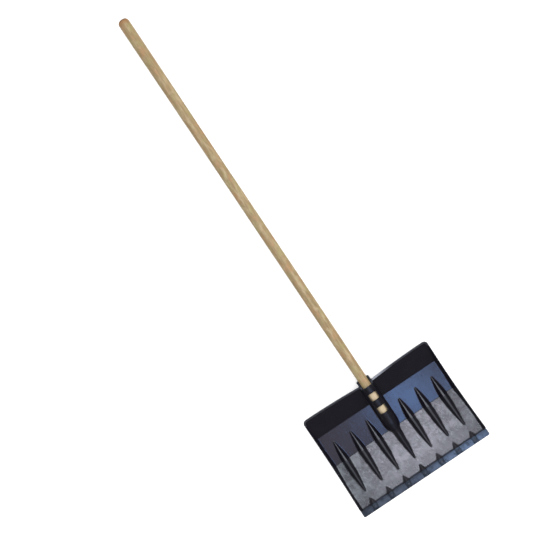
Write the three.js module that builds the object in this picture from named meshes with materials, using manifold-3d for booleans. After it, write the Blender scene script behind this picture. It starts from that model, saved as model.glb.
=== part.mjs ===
// A snow shovel: a wide moulded scoop with a socket, a round wooden handle and a metal wear strip.
//
// Millimetres, +Z up. The shovel lies on its back. +X runs across the scoop, +Y towards the grip end.
// The scoop is a sheet with two creases. Its middle facet lies flat on the ground, the front facet rises
// to the wear strip, and the rear facet rises to the top edge. The handle's grip end also touches the
// ground. Everything is built with y = 0 at the front crease, and the exported group moves the origin to
// the middle of the whole shovel's outline, on the ground.

import * as THREE from 'three';
import { ConvexGeometry } from 'three/addons/geometries/ConvexGeometry.js';
import { mergeVertices } from 'three/addons/utils/BufferGeometryUtils.js';
import Module from 'manifold-3d';

const wasm = await Module();
wasm.setup();

// ---- Driving dimensions -------------------------------------------------------------------------

const CLEARANCE = 0.3; // gap between separate pieces

// Scoop sheet
const HALF_WIDTH = 202.5;
const SHEET = 3; // wall thickness
const MIDDLE_LENGTH = 90; // front crease to rear crease
const FRONT_ANGLE = THREE.MathUtils.degToRad(23); // rise of the front facet
const REAR_ANGLE = THREE.MathUtils.degToRad(21); // rise of the rear facet
const FRONT_LENGTH = 155; // along the slope, front crease to the bare edge under the wear strip
const TOP_EDGE_Y = 155.8; // top edge at its corners
const TOP_EDGE_DIP = 8; // how much lower the top edge is at the middle
const CORNER_RADIUS = 13;

// Side rims and top lip
const RIM_TOP_WIDTH = 3;
const RIM_ROUND = 1.2; // its top edges are bevelled at this size
const RIM_WALL_WIDTH = 2.4; // wall, measured across
const RIM_LEAN = 0.4; // outward lean per unit of height
const RIM_LOW_Y = 55; // the rim's top line is a parabola with its lowest point here
const RIM_LOW_Z = 18;
const RIM_CURVE = 0.0016;
const RIM_SETTLE = 0.27; // slope at which it comes down to the lip, near the top corners
const RIM_STATIONS = 18;
const LIP_WIDTH = 6;
const LIP_HEIGHT = 3.5;
const LIP_RUN_OUT = 22; // it fades into the side rims over this length

// Stiffening ribs across the front crease
const RIB_PITCH = 53.5;
const SIDE_RIBS = [-3, -2, -1, 1, 2, 3]; // in pitches from the centre line
const RIB_REAR_REACH = 60;
const RIB_FRONT_REACH = 102; // along the slope
const RIB_HALF_WIDTH = 11;
const RIB_WIDEST_REACH = 15; // along the slope
const RIB_FULLNESS = 0.7; // lower makes the spindle's sides fuller
const RIB_STEPS = 6; // from the widest place to each tip
const RIB_TIP_HALF_WIDTH = 0.9;
const RIDGE_HALF_WIDTH = 3.8;
const RIDGE_END_HALF_WIDTH = 1.3;
const RIDGE_END_HEIGHT = 1.5; // the ridge's ends stand this far above the facets
const RIB_WALL = 2.5;
const ROOT = 1; // how far a raised feature reaches into the sheet it stands on

// Handle
const HANDLE_LENGTH = 1295;
const HANDLE_FOOT_Y = 45; // lower end, inside the socket
const GRIP_RADIUS = 16;
const SHAFT_RADIUS = 14.6;
const FOOT_RADIUS = 13.1;
const TAPER_LENGTH = 285; // from the foot up to the full shaft radius
const GRIP_SWELL_START = 780; // from the foot
const GRIP_SWELL_STEPS = [900, 1020, 1140];
const DOME_LENGTH = 12;
const DOME_FLAT_RADIUS = 7;
const DOME_STEPS = 5;
const HANDLE_SIDES = 48;

// Socket
const SOCKET_RADIUS = 20;
const CROWN_STEPS = 12;
const SOCKET_BASE_HALF_WIDTH = 20.6;
const EAR_TIP_Y = 162;
const EAR_TOP = 27; // height of the ears above the ground
const MOUTH_Y = 139; // upper end of the upper band
const BAND_LENGTH = 21;
const WINDOW_LENGTH = 21;
const WINDOW_HALF_WIDTH = 13.2;
const UPPER_WINDOW_CORNER = 4.5;
const LOWER_WINDOW_CORNER = 7;
const WINDOW_CORNER_STEPS = 4;
const SHOULDER_Y = 20; // the nose starts to narrow here
const NOSE_NECK = { y: 4.5, baseHalfWidth: 18.5, crown: 15, top: 38 };
const NOSE_END = { y: -8.5, baseHalfWidth: 12.2, crown: 6, top: 35.5 };
const CENTRE_RIB_WAIST_REACH = 66; // along the slope
const CENTRE_RIB_WAIST = 7.6;
const STOP_WALL = 3; // closes the bore below the handle
const BACK_OPENING_HALF_WIDTH = 10;
const BACK_OPENING_MARGIN = 1.5;
const BORE_GAP = 0.35;

// Wear strip, rivets and screw
const STRIP_THICKNESS = 0.9;
const STRIP_HALF_WIDTH = 202;
const STRIP_FRONT_LEG = 17.8;
const STRIP_BACK_LEG = 18;
const STRIP_BEND = 0.8;
const STRIP_CORNER = 2.5; // its front corners are cut off at this size
const REBATE_DEPTH = 1.2; // the sheet is thinner under the strip, so the strip lies flush
const BEVEL_LENGTH = 4.2; // the facet falls away to the strip's edge over this length
const BEVEL_DEPTH = 1.9;
const WEDGE_HALF_WIDTH = 10.5;
const WEDGE_TOP_HALF_WIDTH = 1.5;
const WEDGE_LENGTH = 21;
const WEDGE_HEIGHT = 3.2;
const BOSS_HALF_WIDTH = 8.5;
const BOSS_TOP_HALF_WIDTH = 5.5;
const BOSS_HEIGHT = 1.6;
const RIVET_HEAD_RADIUS = 4;
const RIVET_TAIL_RADIUS = 3.2;
const RIVET_SHANK_RADIUS = 2;
const RIVET_HEAD_HEIGHT = 1.3;
const RIVET_SIDES = 20;
const SCREW_Y = 66; // behind the lower window
const SCREW_RADIUS = 2;
const SCREW_HEAD_RADIUS = 4.2;
const SCREW_HEAD_HEIGHT = 2;
const SCREW_LENGTH = 16;
const SCREW_SIDES = 20;

// ---- Worked-out places --------------------------------------------------------------------------

const REAR_CREASE_Y = MIDDLE_LENGTH;
const CORNER_START_Y = TOP_EDGE_Y - CORNER_RADIUS;
const STRIP_NOSE = FRONT_LENGTH + CLEARANCE + STRIP_THICKNESS; // along the slope
const STRIP_EDGE = STRIP_NOSE - STRIP_FRONT_LEG;
const BEVEL_START = STRIP_EDGE - BEVEL_LENGTH;
const RIVET_REACH = STRIP_NOSE - STRIP_FRONT_LEG / 2;
const AXIS_Z = SOCKET_RADIUS; // the handle's axis over the socket's middle
const AXIS_Y = 100;
const GRIP_TOUCH = HANDLE_LENGTH - DOME_LENGTH; // from the foot, where the grip end rests
const HANDLE_TILT = (AXIS_Z - GRIP_RADIUS) / (HANDLE_FOOT_Y + GRIP_TOUCH - AXIS_Y);
const UPPER_WINDOW_TOP = MOUTH_Y - BAND_LENGTH;
const LOWER_BAND_TOP = UPPER_WINDOW_TOP - WINDOW_LENGTH;
const LOWER_WINDOW_TOP = LOWER_BAND_TOP - BAND_LENGTH;
const FAR = 60; // reach of a cutter that must run right through

// ---- Solid helpers ------------------------------------------------------------------------------

function solid(geometry) {
  const bare = geometry.clone();
  bare.deleteAttribute('normal');
  bare.deleteAttribute('uv');
  const merged = mergeVertices(bare);
  const vertProperties = new Float32Array(merged.attributes.position.array);
  const triVerts = new Uint32Array(merged.index.array);
  return new wasm.Manifold(new wasm.Mesh({ numProp: 3, vertProperties, triVerts }));
}

function hull(points) {
  return solid(new ConvexGeometry(points.map(([x, y, z]) => new THREE.Vector3(x, y, z))));
}

function box([x0, x1], [y0, y1], [z0, z1]) {
  const geometry = new THREE.BoxGeometry(x1 - x0, y1 - y0, z1 - z0);
  return solid(geometry.translate((x0 + x1) / 2, (y0 + y1) / 2, (z0 + z1) / 2));
}

// A round bar along Z.
function rod(radius, [z0, z1], sides) {
  const geometry = new THREE.CylinderGeometry(radius, radius, z1 - z0, sides);
  return solid(geometry.rotateX(Math.PI / 2).translate(0, 0, (z0 + z1) / 2));
}

// An outline in the XY plane pulled up along Z.
function prism(shape, [z0, z1], curveSegments = 12) {
  const settings = { depth: z1 - z0, bevelEnabled: false, curveSegments };
  return solid(new THREE.ExtrudeGeometry(shape, settings).translate(0, 0, z0));
}

function union(solids) {
  return solids.reduce((sum, item) => sum.add(item));
}

// Both mirror images of a list of points, left and right of the centre line.
function bothSides(points) {
  return points.flatMap(([x, y, z]) => [[x, y, z], [-x, y, z]]);
}

function toMesh(manifold, name, material) {
  const { vertProperties, triVerts } = manifold.getMesh();
  const geometry = new THREE.BufferGeometry();
  geometry.setAttribute('position', new THREE.BufferAttribute(vertProperties, 3));
  geometry.setIndex(new THREE.BufferAttribute(triVerts, 1));
  geometry.computeVertexNormals();
  const mesh = new THREE.Mesh(geometry, material);
  mesh.name = name;
  return mesh;
}

// ---- Sheet surfaces -----------------------------------------------------------------------------

// Height of the scoop's upper surface.
function sheetTop(y) {
  const front = SHEET - y * Math.tan(FRONT_ANGLE);
  const rear = SHEET + (y - REAR_CREASE_Y) * Math.tan(REAR_ANGLE);
  return Math.max(SHEET, front, rear);
}

// Height of the scoop's lower surface, one wall thickness below.
function sheetBottom(y) {
  const front = SHEET - y * Math.tan(FRONT_ANGLE) - SHEET / Math.cos(FRONT_ANGLE);
  const rear = SHEET + (y - REAR_CREASE_Y) * Math.tan(REAR_ANGLE) - SHEET / Math.cos(REAR_ANGLE);
  return Math.max(0, front, rear);
}

// Height of the rim's top line. It settles to the lip's height where the top corners start.
function rimTop(y) {
  const curve = RIM_LOW_Z + RIM_CURVE * (y - RIM_LOW_Y) ** 2;
  const toCorner = Math.max(0, CORNER_START_Y - y);
  return Math.min(curve, sheetTop(y) + LIP_HEIGHT + RIM_SETTLE * toCorner);
}

// How far out the rim's inner face meets the sheet.
function rimFoot(y) {
  return HALF_WIDTH - RIM_TOP_WIDTH - RIM_LEAN * (rimTop(y) - sheetTop(y));
}

// A point of the front facet's own frame: reach along the slope, height square to its upper surface.
function onFront(x, reach, height) {
  const sin = Math.sin(FRONT_ANGLE);
  const cos = Math.cos(FRONT_ANGLE);
  return [x, -reach * cos + height * sin, SHEET + reach * sin + height * cos];
}

function onFrontPlane(manifold) {
  const degrees = THREE.MathUtils.radToDeg(-FRONT_ANGLE);
  return manifold.rotate([degrees, 0, 0]).translate([0, 0, SHEET]);
}

// ---- Blade: scoop -------------------------------------------------------------------------------

// Lines across the scoop between which the sheet and the rims are straight.
function stations() {
  const frontEnd = -FRONT_LENGTH * Math.cos(FRONT_ANGLE);
  const lines = [frontEnd, 0, REAR_CREASE_Y, CORNER_START_Y, TOP_EDGE_Y + CORNER_RADIUS];
  for (let i = 1; i < RIM_STATIONS; i += 1) {
    lines.push(THREE.MathUtils.lerp(frontEnd, TOP_EDGE_Y, i / RIM_STATIONS));
  }
  return lines.sort((a, b) => a - b);
}

function sheetSection(y) {
  const edge = rimFoot(y) + RIM_WALL_WIDTH / 2;
  return bothSides([[edge, y, sheetTop(y)], [edge, y, sheetBottom(y)]]);
}

function rimSection(y, side) {
  const foot = rimFoot(y);
  const top = rimTop(y);
  const inner = HALF_WIDTH - RIM_TOP_WIDTH;
  return [
    [side * foot, y, sheetTop(y) - ROOT],
    [side * inner, y, top - RIM_ROUND],
    [side * (inner + RIM_ROUND), y, top],
    [side * (HALF_WIDTH - RIM_ROUND), y, top],
    [side * HALF_WIDTH, y, top - RIM_ROUND],
    [side * (foot + RIM_WALL_WIDTH), y, sheetBottom(y)],
  ];
}

// The scoop's outline seen from above, moved inwards by inset, and at the sides by sideInset.
function outline(inset, sideInset) {
  const edge = HALF_WIDTH - sideInset;
  const top = TOP_EDGE_Y - inset;
  const radius = CORNER_RADIUS - inset;
  const shape = new THREE.Shape();
  shape.moveTo(-edge, -FRONT_LENGTH);
  shape.lineTo(edge, -FRONT_LENGTH);
  shape.lineTo(edge, top - radius);
  shape.absarc(edge - radius, top - radius, radius, 0, Math.PI / 2, false);
  shape.quadraticCurveTo((edge - radius) / 2, top, 0, top - TOP_EDGE_DIP);
  shape.quadraticCurveTo((radius - edge) / 2, top, radius - edge, top);
  shape.absarc(radius - edge, top - radius, radius, Math.PI / 2, Math.PI, false);
  return shape;
}

// The raised lip along the top edge and round its corners.
function topLip() {
  const height = [0, 2 * FAR];
  const outer = prism(outline(0, RIM_TOP_WIDTH), height);
  const ring = outer.subtract(prism(outline(LIP_WIDTH, LIP_WIDTH), height));
  const full = TOP_EDGE_Y - TOP_EDGE_DIP - LIP_WIDTH;
  const past = TOP_EDGE_Y + CORNER_RADIUS;
  const heights = [[full - LIP_RUN_OUT, 0], [full, LIP_HEIGHT], [past, LIP_HEIGHT]];
  const layer = hull(heights.flatMap(([y, height]) => bothSides([
    [HALF_WIDTH, y, sheetTop(y) - ROOT],
    [HALF_WIDTH, y, sheetTop(y) + height],
  ])));
  return ring.intersect(layer);
}

// The thin land along the front edge that the wear strip folds over.
function stripLand() {
  const start = BEVEL_START - ROOT;
  const corners = [start, FRONT_LENGTH].flatMap((reach) => bothSides([
    onFront(STRIP_HALF_WIDTH - CLEARANCE, reach, 0),
    onFront(STRIP_HALF_WIDTH - CLEARANCE, reach, -SHEET),
  ]));
  return hull(corners);
}

function tray() {
  const lines = stations();
  const pieces = [stripLand()];
  for (let i = 1; i < lines.length; i += 1) {
    const [near, far] = [lines[i - 1], lines[i]];
    pieces.push(hull([...sheetSection(near), ...sheetSection(far)]));
    for (const side of [-1, 1]) {
      pieces.push(hull([...rimSection(near, side), ...rimSection(far, side)]));
    }
  }
  return union(pieces).intersect(prism(outline(0, 0), [-FAR, 3 * FAR])).add(topLip());
}

// Clears the rebate that the strip's front leg lies in, and the bevel that leads down to it
// between the rims.
function rebateCut() {
  const y = [-FRONT_LENGTH - FAR, -STRIP_EDGE];
  const rebate = box([-HALF_WIDTH - 1, HALF_WIDTH + 1], y, [-REBATE_DEPTH, FAR]);
  const inside = rimFoot(-STRIP_EDGE * Math.cos(FRONT_ANGLE));
  const bevel = hull(bothSides([
    [inside, -BEVEL_START, 0],
    [inside, -BEVEL_START, FAR],
    [inside, -STRIP_EDGE, -BEVEL_DEPTH],
    [inside, -STRIP_EDGE - ROOT, -BEVEL_DEPTH],
    [inside, -STRIP_EDGE - ROOT, FAR],
  ]));
  return onFrontPlane(rebate.add(bevel));
}

// ---- Blade: ribs and wedges ---------------------------------------------------------------------

// A point under the middle facet, or under the front facet for a reach past the crease.
function underSheet(x, reach, depth) {
  return reach > 0 ? onFront(x, reach, -depth) : [x, -reach, SHEET - depth];
}

// A spindle across the crease, widest a little way down the front facet, with a straight flat-topped
// ridge from tip to tip, which is widest at the crease.
// With a shell, every face lies that far inside and the foot runs out through the sheet's back.
function ribBody(shell) {
  const wide = RIB_HALF_WIDTH - shell;
  const tip = RIB_TIP_HALF_WIDTH - shell / 2;
  const ridge = RIDGE_HALF_WIDTH - shell / 2;
  const ridgeEndHalf = RIDGE_END_HALF_WIDTH - shell / 4;
  const depth = shell > 0 ? SHEET + ROOT : ROOT;
  const rear = RIB_REAR_REACH - 3 * shell;
  const front = RIB_FRONT_REACH - 3 * shell;
  const ridgeEnd = RIDGE_END_HEIGHT - shell;
  const ridgeRear = [ridgeEndHalf, rear - RIDGE_HALF_WIDTH, SHEET + ridgeEnd];
  const ridgeFront = onFront(ridgeEndHalf, front - RIDGE_HALF_WIDTH, ridgeEnd);
  const toCrease = ridgeRear[1] / (ridgeRear[1] - ridgeFront[1]);
  const points = [
    ridgeRear,
    ridgeFront,
    [ridge, 0, THREE.MathUtils.lerp(ridgeRear[2], ridgeFront[2], toCrease)],
  ];
  for (let i = 0; i <= RIB_STEPS; i += 1) {
    const share = i / RIB_STEPS;
    const half = Math.max(tip, wide * (1 - share ** 2) ** RIB_FULLNESS);
    for (const end of [-rear, front]) {
      points.push(underSheet(half, THREE.MathUtils.lerp(RIB_WIDEST_REACH, end, share), depth));
    }
  }
  return hull(bothSides(points));
}

// A small wedge at the front edge. It points up the facet and ends under the strip's boss.
function wedge(x) {
  const tip = STRIP_EDGE - WEDGE_LENGTH;
  const end = STRIP_EDGE - CLEARANCE;
  return hull([
    onFront(x, tip, 0),
    onFront(x, tip + ROOT, -REBATE_DEPTH),
    ...[-1, 1].flatMap((side) => [
      onFront(x + side * WEDGE_HALF_WIDTH, end, -REBATE_DEPTH - ROOT),
      onFront(x + side * WEDGE_HALF_WIDTH, end, 0),
      onFront(x + side * WEDGE_TOP_HALF_WIDTH, end, WEDGE_HEIGHT),
    ]),
  ]);
}

// ---- Blade: socket ------------------------------------------------------------------------------

// Half of the socket's section: a round crown on sides that spread to the sheet.
function crownSection({ y, baseHalfWidth, crown, top }) {
  const foot = sheetBottom(y) + (y < 0 ? ROOT : 0);
  const points = [[baseHalfWidth, y, foot]];
  for (let i = 0; i <= CROWN_STEPS; i += 1) {
    const angle = (i / CROWN_STEPS) * (Math.PI / 2);
    points.push([crown * Math.cos(angle), y, top - crown + crown * Math.sin(angle)]);
  }
  return points;
}

function fullSection(y) {
  return { y, baseHalfWidth: SOCKET_BASE_HALF_WIDTH, crown: SOCKET_RADIUS, top: 2 * SOCKET_RADIUS };
}

// The same section one wall thickness further in, reaching out through the back.
function hollowSection({ y, baseHalfWidth, crown, top }) {
  const inner = {
    y,
    baseHalfWidth: baseHalfWidth - RIB_WALL,
    crown: crown - RIB_WALL,
    top: top - RIB_WALL,
  };
  return [...crownSection(inner), [inner.baseHalfWidth, y, -ROOT]];
}

// Outer form of the socket on the middle facet, with the nose that runs into the central rib.
function socketFront() {
  const rear = crownSection(fullSection(REAR_CREASE_Y));
  const shoulder = crownSection(fullSection(SHOULDER_Y));
  const neck = crownSection(NOSE_NECK);
  const end = crownSection(NOSE_END);
  return union([
    hull(bothSides([...rear, ...shoulder])),
    hull(bothSides([...shoulder, ...neck])),
    hull(bothSides([...neck, ...end])),
    hull(bothSides([
      ...end,
      onFront(CENTRE_RIB_WAIST, CENTRE_RIB_WAIST_REACH, -ROOT),
      onFront(RIB_TIP_HALF_WIDTH, RIB_FRONT_REACH, -ROOT),
      onFront(RIB_TIP_HALF_WIDTH, RIB_FRONT_REACH - RIDGE_HALF_WIDTH, RIDGE_END_HEIGHT),
    ])),
  ]);
}

// The tube behind and above the rear crease. Its lower half forms the ears.
function socketTube() {
  const length = EAR_TIP_Y - LOWER_WINDOW_TOP;
  const tube = new THREE.CylinderGeometry(SOCKET_RADIUS, SOCKET_RADIUS, length, HANDLE_SIDES);
  return solid(tube.translate(0, LOWER_WINDOW_TOP + length / 2, AXIS_Z));
}

// Window cutter: straight sides, with round corners at the end nearest the nose.
function windowCut(top, corner) {
  const bottom = top - WINDOW_LENGTH;
  const shape = new THREE.Shape();
  shape.moveTo(-WINDOW_HALF_WIDTH, top);
  shape.lineTo(-WINDOW_HALF_WIDTH, bottom + corner);
  shape.quadraticCurveTo(-WINDOW_HALF_WIDTH, bottom, corner - WINDOW_HALF_WIDTH, bottom);
  shape.lineTo(WINDOW_HALF_WIDTH - corner, bottom);
  shape.quadraticCurveTo(WINDOW_HALF_WIDTH, bottom, WINDOW_HALF_WIDTH, bottom + corner);
  shape.lineTo(WINDOW_HALF_WIDTH, top);
  return prism(shape, [AXIS_Z, FAR], WINDOW_CORNER_STEPS);
}

// Behind each band the socket is open, so the bands and the back walls hold the handle in turn.
function backOpening(bandTop) {
  const y = [bandTop - BAND_LENGTH + BACK_OPENING_MARGIN, bandTop - BACK_OPENING_MARGIN];
  return box([-BACK_OPENING_HALF_WIDTH, BACK_OPENING_HALF_WIDTH], y, [-ROOT, AXIS_Z]);
}

// The hollow behind the nose and the central rib, open at the back.
function noseHollow() {
  const stopWall = hollowSection(fullSection(HANDLE_FOOT_Y - BORE_GAP - STOP_WALL));
  const shoulder = hollowSection(fullSection(SHOULDER_Y));
  const neck = hollowSection(NOSE_NECK);
  const end = hollowSection(NOSE_END);
  const tipReach = RIB_FRONT_REACH - 3 * RIB_WALL;
  const tip = RIB_TIP_HALF_WIDTH - RIB_WALL / 2;
  return union([
    hull(bothSides([...stopWall, ...shoulder])),
    hull(bothSides([...shoulder, ...neck])),
    hull(bothSides([...neck, ...end])),
    hull(bothSides([
      ...end,
      onFront(CENTRE_RIB_WAIST - RIB_WALL, CENTRE_RIB_WAIST_REACH - RIB_WALL, -SHEET - ROOT),
      onFront(tip, tipReach, -SHEET - ROOT),
      onFront(tip, tipReach - RIDGE_HALF_WIDTH, RIDGE_END_HEIGHT - RIB_WALL),
    ])),
  ]);
}

// ---- Handle -------------------------------------------------------------------------------------

// Radius at a distance from the foot: a long taper, a straight shaft and a slow swell to the grip.
function handleRadius(distance) {
  if (distance < TAPER_LENGTH) {
    return THREE.MathUtils.lerp(FOOT_RADIUS, SHAFT_RADIUS, distance / TAPER_LENGTH);
  }
  const swell = THREE.MathUtils.smoothstep(distance, GRIP_SWELL_START, GRIP_TOUCH);
  return THREE.MathUtils.lerp(SHAFT_RADIUS, GRIP_RADIUS, swell);
}

// Turns a profile of [radius, distance from the foot] into a solid on the handle's tilted axis.
function turnedOnHandleAxis(profile) {
  const points = profile.map(([radius, distance]) => new THREE.Vector2(radius, distance));
  const geometry = new THREE.LatheGeometry(points, HANDLE_SIDES);
  const footZ = AXIS_Z + (AXIS_Y - HANDLE_FOOT_Y) * Math.tan(HANDLE_TILT);
  return solid(geometry.rotateX(-HANDLE_TILT).translate(0, HANDLE_FOOT_Y, footZ));
}

function handleBody() {
  const profile = [[0, 0], [FOOT_RADIUS - 1, 0], [FOOT_RADIUS, 1]];
  for (const distance of [TAPER_LENGTH, GRIP_SWELL_START, ...GRIP_SWELL_STEPS, GRIP_TOUCH]) {
    profile.push([handleRadius(distance), distance]);
  }
  for (let i = 1; i <= DOME_STEPS; i += 1) {
    const angle = (i / DOME_STEPS) * (Math.PI / 2);
    const rim = GRIP_RADIUS - DOME_FLAT_RADIUS;
    profile.push([DOME_FLAT_RADIUS + rim * Math.cos(angle), GRIP_TOUCH + DOME_LENGTH * Math.sin(angle)]);
  }
  profile.push([0, HANDLE_LENGTH]);
  return turnedOnHandleAxis(profile);
}

// The socket's bore: the handle's own taper, a little larger, running out past the ears.
function bore() {
  const end = EAR_TIP_Y - HANDLE_FOOT_Y + ROOT;
  return turnedOnHandleAxis([
    [0, -BORE_GAP],
    [handleRadius(0) + BORE_GAP, -BORE_GAP],
    [handleRadius(end) + BORE_GAP, end],
    [0, end],
  ]);
}

// Opens the socket above the ears, so the handle is seen between them.
function mouthCut() {
  const half = handleRadius(EAR_TIP_Y - HANDLE_FOOT_Y) + BORE_GAP;
  const y = [MOUTH_Y, EAR_TIP_Y + ROOT];
  const earTops = box([-SOCKET_RADIUS, SOCKET_RADIUS], y, [EAR_TOP, FAR]);
  return box([-half, half], y, [AXIS_Z, FAR]).add(earTops);
}

// ---- Fasteners ----------------------------------------------------------------------------------

// A piece turned about Z from a profile of [radius, height].
function turned(profile, sides) {
  const points = profile.map(([radius, height]) => new THREE.Vector2(radius, height));
  return solid(new THREE.LatheGeometry(points, sides).rotateX(Math.PI / 2));
}

// A low domed head on the boss, a shank through strip and sheet, and a flattened tail behind.
function rivet() {
  const seat = BOSS_HEIGHT + CLEARANCE;
  const back = -SHEET - 2 * CLEARANCE - STRIP_THICKNESS;
  return turned([
    [0, back - RIVET_HEAD_HEIGHT],
    [RIVET_TAIL_RADIUS, back - RIVET_HEAD_HEIGHT / 2],
    [RIVET_TAIL_RADIUS, back],
    [RIVET_SHANK_RADIUS, back],
    [RIVET_SHANK_RADIUS, seat],
    [RIVET_HEAD_RADIUS, seat],
    [RIVET_HEAD_RADIUS * 0.9, seat + RIVET_HEAD_HEIGHT * 0.6],
    [RIVET_HEAD_RADIUS * 0.5, seat + RIVET_HEAD_HEIGHT],
    [0, seat + RIVET_HEAD_HEIGHT],
  ], RIVET_SIDES);
}

// A countersunk head in the back wall, a shank and a point that ends inside the handle.
function screw() {
  const head = CLEARANCE;
  const tip = head + SCREW_HEAD_HEIGHT + SCREW_LENGTH;
  return turned([
    [0, head],
    [SCREW_HEAD_RADIUS, head],
    [SCREW_HEAD_RADIUS, head + SCREW_HEAD_HEIGHT / 2],
    [SCREW_RADIUS, head + SCREW_HEAD_HEIGHT],
    [SCREW_RADIUS, tip - 2 * SCREW_RADIUS],
    [0, tip],
  ], SCREW_SIDES).translate([0, SCREW_Y, 0]);
}

// The space the screw needs: its shank's hole and the pocket for its head.
function screwHole() {
  const seat = SCREW_HEAD_HEIGHT + 2 * CLEARANCE;
  const shank = rod(SCREW_RADIUS + CLEARANCE, [0, seat + SCREW_LENGTH], SCREW_SIDES);
  const pocket = rod(SCREW_HEAD_RADIUS + CLEARANCE, [-ROOT, seat], SCREW_SIDES);
  return shank.add(pocket).translate([0, SCREW_Y, 0]);
}

// ---- Wear strip ---------------------------------------------------------------------------------

// Where the ribs, wedges, bosses and rivets stand across the scoop.
function ribPlaces() {
  return [0, ...SIDE_RIBS].sort((a, b) => a - b).map((pitches) => pitches * RIB_PITCH);
}

function rivetHoles() {
  const hole = rod(RIVET_SHANK_RADIUS + CLEARANCE, [-FAR / 2, FAR / 2], RIVET_SIDES);
  return union(ribPlaces().map((x) => onFrontPlane(hole.translate([x, -RIVET_REACH, 0]))));
}

// Keeps everything but the two front corners of the land and the strip.
function cornerTrim() {
  const nose = -STRIP_NOSE * Math.cos(FRONT_ANGLE);
  return hull([-FAR, 3 * FAR].flatMap((z) => bothSides([
    [STRIP_HALF_WIDTH + FAR, EAR_TIP_Y + FAR, z],
    [STRIP_HALF_WIDTH + FAR, nose + STRIP_CORNER + FAR, z],
    [STRIP_HALF_WIDTH - STRIP_CORNER - FAR, nose - FAR, z],
  ])));
}

// A press-formed pad around each rivet, in line with the wedge above it.
function boss(x) {
  const end = STRIP_NOSE - STRIP_BEND - ROOT;
  return hull([-1, 1].flatMap((side) => [
    onFront(x + side * BOSS_HALF_WIDTH, STRIP_EDGE, -STRIP_THICKNESS / 2),
    onFront(x + side * BOSS_HALF_WIDTH, end, -STRIP_THICKNESS / 2),
    onFront(x + side * BOSS_TOP_HALF_WIDTH, STRIP_EDGE, BOSS_HEIGHT),
    onFront(x + side * BOSS_TOP_HALF_WIDTH, end - BOSS_HEIGHT, BOSS_HEIGHT),
  ]));
}

// The folded section, seen from the end: reach runs along the slope and height square to it.
function stripSection() {
  const back = -SHEET - CLEARANCE;
  const foot = back - STRIP_THICKNESS;
  const inner = STRIP_NOSE - STRIP_THICKNESS;
  const backEdge = STRIP_NOSE - STRIP_BACK_LEG;
  const outline = [
    [STRIP_EDGE, 0],
    [STRIP_NOSE - STRIP_BEND, 0],
    [STRIP_NOSE, -STRIP_BEND],
    [STRIP_NOSE, foot + STRIP_BEND],
    [STRIP_NOSE - STRIP_BEND, foot],
    [backEdge, foot],
    [backEdge, back],
    [inner, back],
    [inner, -STRIP_THICKNESS],
    [STRIP_EDGE, -STRIP_THICKNESS],
  ];
  return new THREE.Shape(outline.map(([reach, height]) => new THREE.Vector2(-reach, height)));
}

function stripBody() {
  const settings = { depth: 2 * STRIP_HALF_WIDTH, bevelEnabled: false };
  const channel = new THREE.ExtrudeGeometry(stripSection(), settings).translate(0, 0, -STRIP_HALF_WIDTH);
  const acrossX = new THREE.Matrix4().makeBasis(
    new THREE.Vector3(0, 1, 0),
    new THREE.Vector3(0, 0, 1),
    new THREE.Vector3(1, 0, 0),
  );
  const folded = onFrontPlane(solid(channel.applyMatrix4(acrossX)));
  return union([folded, ...ribPlaces().map(boss)]).intersect(cornerTrim()).subtract(rivetHoles());
}

// ---- Assembly -----------------------------------------------------------------------------------

function bladeBody() {
  const sideRibs = SIDE_RIBS.map((pitches) => pitches * RIB_PITCH);
  const raised = union([
    tray().subtract(rebateCut()),
    ...sideRibs.map((x) => ribBody(0).translate([x, 0, 0])),
    ...ribPlaces().map(wedge),
    socketFront(),
    socketTube(),
  ]);
  const cuts = union([
    bore(),
    mouthCut(),
    windowCut(UPPER_WINDOW_TOP, UPPER_WINDOW_CORNER),
    windowCut(LOWER_WINDOW_TOP, LOWER_WINDOW_CORNER),
    backOpening(MOUTH_Y),
    backOpening(LOWER_BAND_TOP),
    noseHollow(),
    ...sideRibs.map((x) => ribBody(RIB_WALL).translate([x, 0, 0])),
    rivetHoles(),
    screwHole(),
  ]);
  return raised.subtract(cuts).intersect(cornerTrim());
}

function material(colour, roughness, metalness) {
  return new THREE.MeshStandardMaterial({ color: colour, roughness, metalness });
}

const blackPlastic = material(0x2a2b33, 0.4, 0);
const paleWood = material(0xb9a47c, 0.6, 0);
const blueSteel = material(0x5a6a80, 0.4, 0.9);
const plainSteel = material(0x767e88, 0.35, 1);

const shovel = new THREE.Group();
shovel.add(toMesh(bladeBody(), 'blade', blackPlastic));
shovel.add(toMesh(handleBody().subtract(screwHole()), 'handle', paleWood));
shovel.add(toMesh(stripBody(), 'wear_strip', blueSteel));
shovel.add(toMesh(screw(), 'handle_screw', plainSteel));
ribPlaces().forEach((x, index) => {
  const placed = onFrontPlane(rivet().translate([x, -RIVET_REACH, 0]));
  shovel.add(toMesh(placed, `strip_rivet_${index + 1}`, plainSteel.clone()));
});

// The origin is the middle of the whole outline, on the ground.
const bounds = new THREE.Box3().setFromObject(shovel, true);
const middle = bounds.getCenter(new THREE.Vector3());
shovel.position.set(-middle.x, -middle.y, -bounds.min.z);

export default shovel;
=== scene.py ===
"""Looks for the snow shovel: moulded scoop, turned wooden handle, folded wear strip and its fasteners.

Metres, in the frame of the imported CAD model. The shovel lies on its back: the front edge of the scoop
is towards -Y, the grip end is towards +Y, and the scoop's open side faces up.
"""

import math

import bmesh
import bpy
from mathutils import Matrix, Vector, noise


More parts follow.
